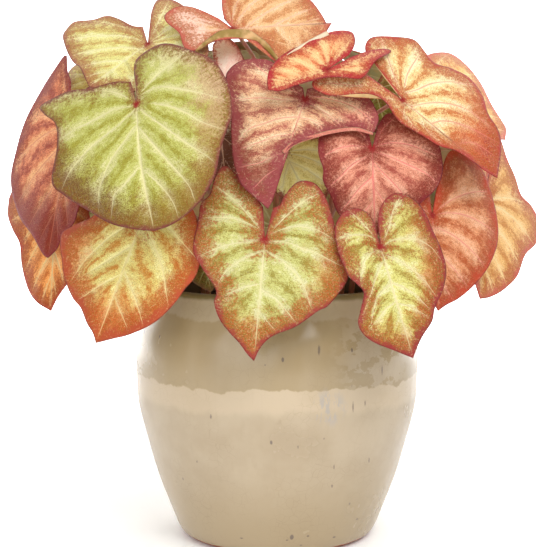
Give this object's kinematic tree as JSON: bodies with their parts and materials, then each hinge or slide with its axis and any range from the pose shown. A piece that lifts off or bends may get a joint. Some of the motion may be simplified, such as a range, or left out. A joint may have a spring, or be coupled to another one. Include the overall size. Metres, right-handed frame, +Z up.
{
  "type": "potted caladium",
  "caption": "Bushy caladium with broad heart-shaped leaves on arching stalks, growing in soil in a round glazed ceramic pot that stands on a flat foot.",
  "frame": {"origin": "middle of the pot's flat foot, on the surface it stands on", "axes": "+Z up along the pot's turned axis; -Y towards the side from which the plant is usually seen; +X to the right from there"},
  "size_m": [0.5601, 0.432, 0.5497],
  "materials": {
    "glaze": "gloss",
    "soil": "matte",
    "leaf_green": "satin",
    "leaf_gold": "satin",
    "leaf_rose": "satin",
    "leaf_coral": "satin"
  },
  "bodies": {
    "root": {"pot": "glaze", "soil": "soil", "leaf_broad_green": "leaf_green", "leaf_low_centre": "leaf_green", "leaf_inner_green": "leaf_green", "leaf_inner_olive": "leaf_green", "leaf_rim_green": "leaf_green", "leaf_low_left": "leaf_gold", "leaf_low_right": "leaf_gold", "leaf_high_right": "leaf_gold", "leaf_behind_high_right": "leaf_gold", "leaf_high_left": "leaf_gold", "leaf_far_left": "leaf_gold", "leaf_far_right": "leaf_gold", "leaf_side_pale": "leaf_gold", "leaf_centre_rose": "leaf_rose", "leaf_mid_rose": "leaf_rose", "leaf_left_crimson": "leaf_rose", "leaf_crown_curled": "leaf_rose", "leaf_crown_peach": "leaf_coral", "leaf_right_coral": "leaf_coral", "leaf_small_blush": "leaf_coral", "leaf_side_low_1": "leaf_coral", "leaf_back_low_1": "leaf_gold", "leaf_back_low_2": "leaf_green", "leaf_back_low_3": "leaf_coral", "leaf_back_mid_1": "leaf_coral", "leaf_back_mid_2": "leaf_gold", "leaf_back_mid_3": "leaf_rose", "leaf_back_mid_4": "leaf_green", "leaf_back_high_1": "leaf_gold", "leaf_back_high_2": "leaf_coral", "leaf_back_high_3": "leaf_green"}
  },
  "joints": []
}
